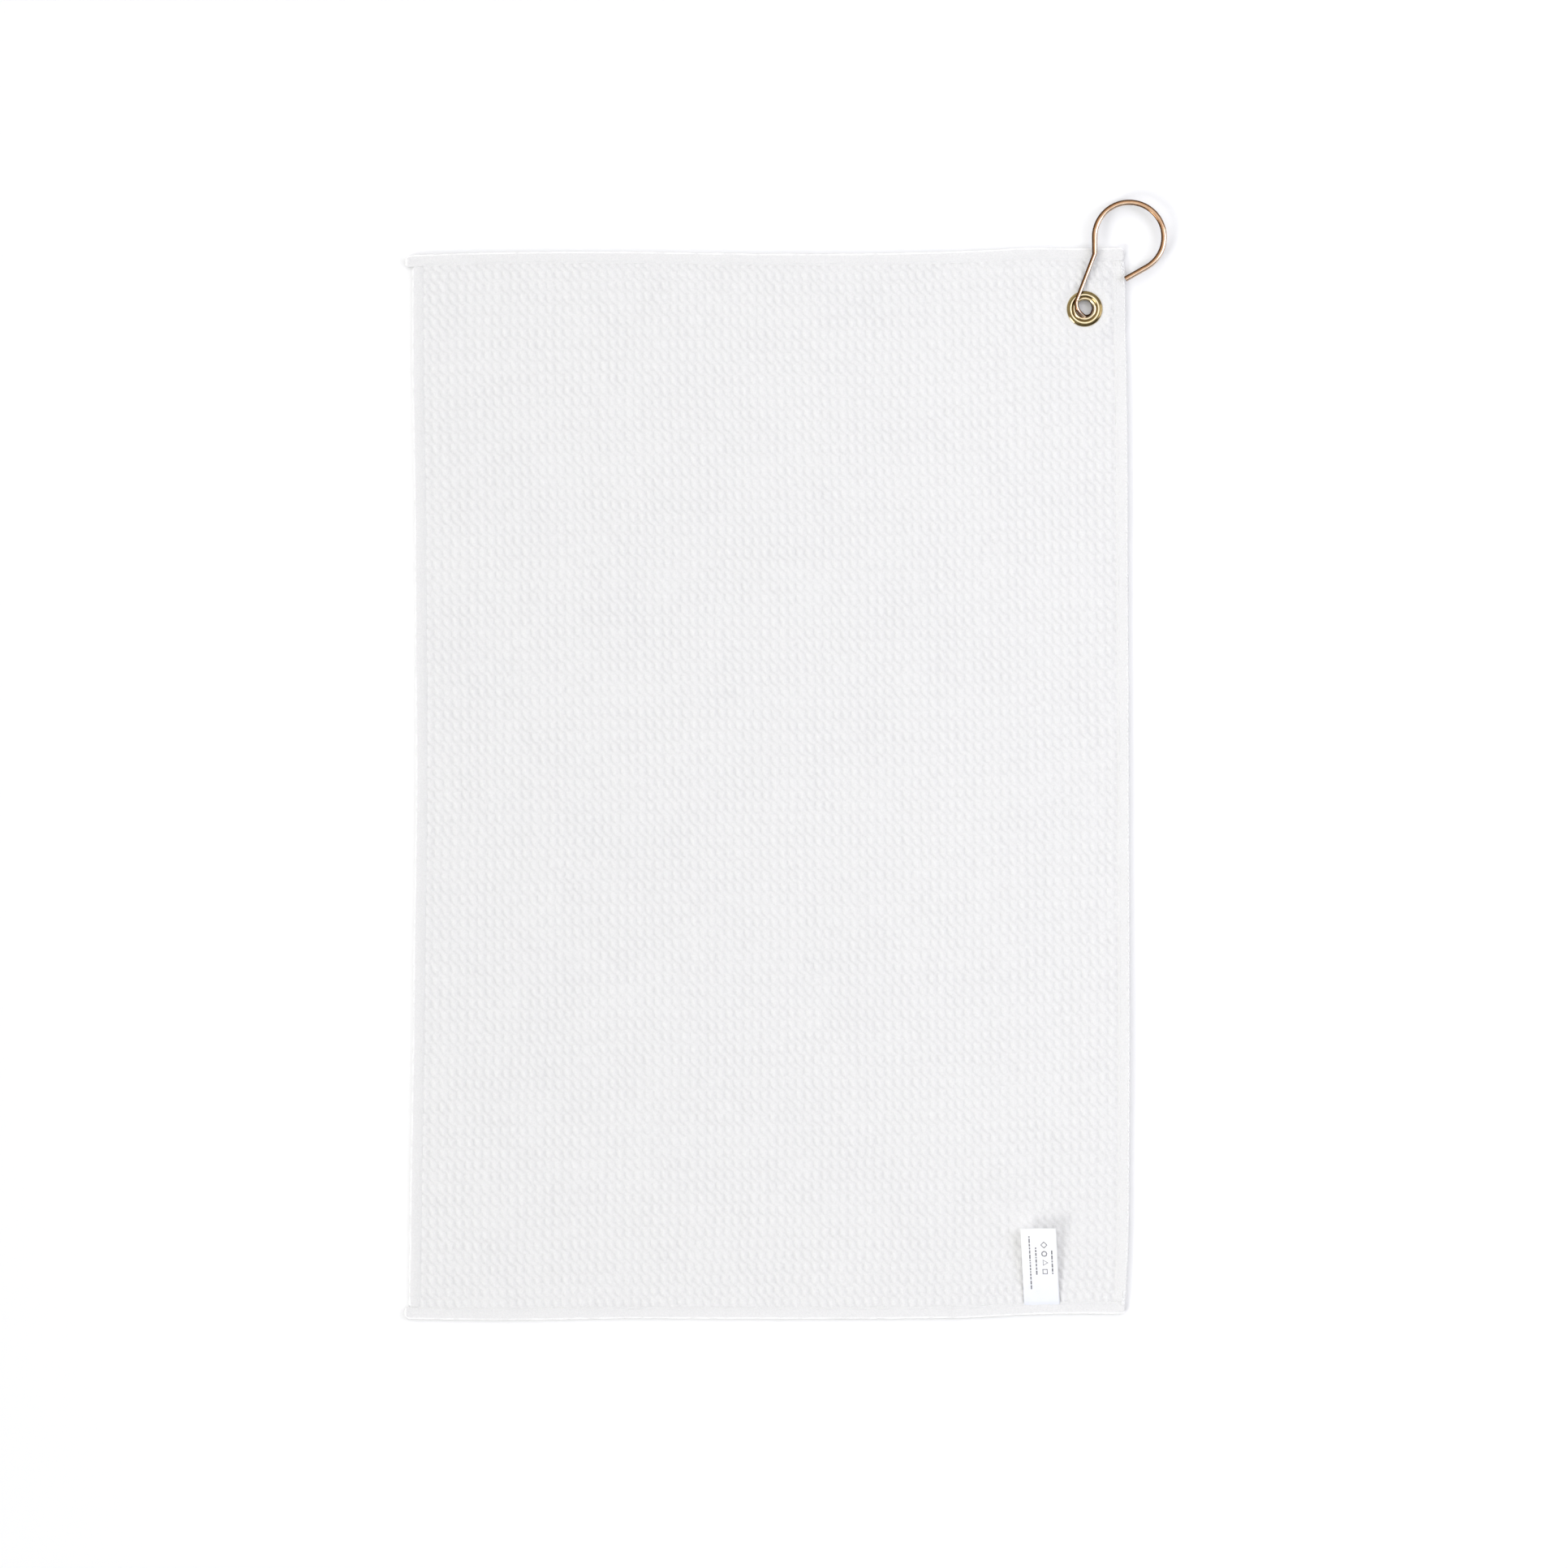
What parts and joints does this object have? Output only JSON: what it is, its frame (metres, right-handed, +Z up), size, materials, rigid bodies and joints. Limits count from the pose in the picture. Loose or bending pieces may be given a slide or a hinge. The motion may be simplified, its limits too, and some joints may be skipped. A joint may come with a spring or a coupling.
{
  "type": "golf towel",
  "caption": "Flat rectangular waffle-weave golf towel with sewn hems, a ribbon care label, a brass grommet near one corner and a bent wire bag hook through it.",
  "frame": {"origin": "middle of the towel's underside, on the surface it lies on", "axes": "+Z up, out of the hemmed side; +Y along the towel's length towards the end with the grommet; +X towards the side with the grommet"},
  "size_m": [0.4293, 0.6383, 0.0085],
  "materials": {
    "towel_cloth": "matte",
    "sewing_thread": "matte",
    "label_ribbon": "satin",
    "grommet_brass": "polished",
    "hook_metal": "polished"
  },
  "bodies": {
    "towel": {"towel_panel": "towel_cloth", "hem_bottom": "towel_cloth", "hem_right": "towel_cloth", "hem_top": "towel_cloth", "hem_left": "towel_cloth", "thread_upper_bottom": "sewing_thread", "thread_upper_right": "sewing_thread", "thread_upper_top": "sewing_thread", "thread_upper_left": "sewing_thread", "thread_under_bottom": "sewing_thread", "thread_under_right": "sewing_thread", "thread_under_top": "sewing_thread", "thread_under_left": "sewing_thread", "thread_edge_right": "sewing_thread", "tack_bottom_right": "sewing_thread", "tack_top_right": "sewing_thread", "care_label_tab": "label_ribbon", "grommet_eyelet": "grommet_brass", "grommet_washer": "grommet_brass"},
    "hook": {"hook_wire": "hook_metal"},
    "label": {"care_label": "label_ribbon"}
  },
  "joints": [
    {"name": "hook_swivel", "type": "hinge", "parent": "towel", "child": "hook", "pos_m": [0.17975, 0.27176, 0.0067], "axis": [0, 0, 1], "continuous": true},
    {"name": "label_flap", "type": "hinge", "parent": "towel", "child": "label", "pos_m": [0.156, -0.2978, 0.0026], "axis": [1, 0, 0], "range_deg": [-7, 160], "stiffness_Nm_per_rad": 0.003}
  ]
}
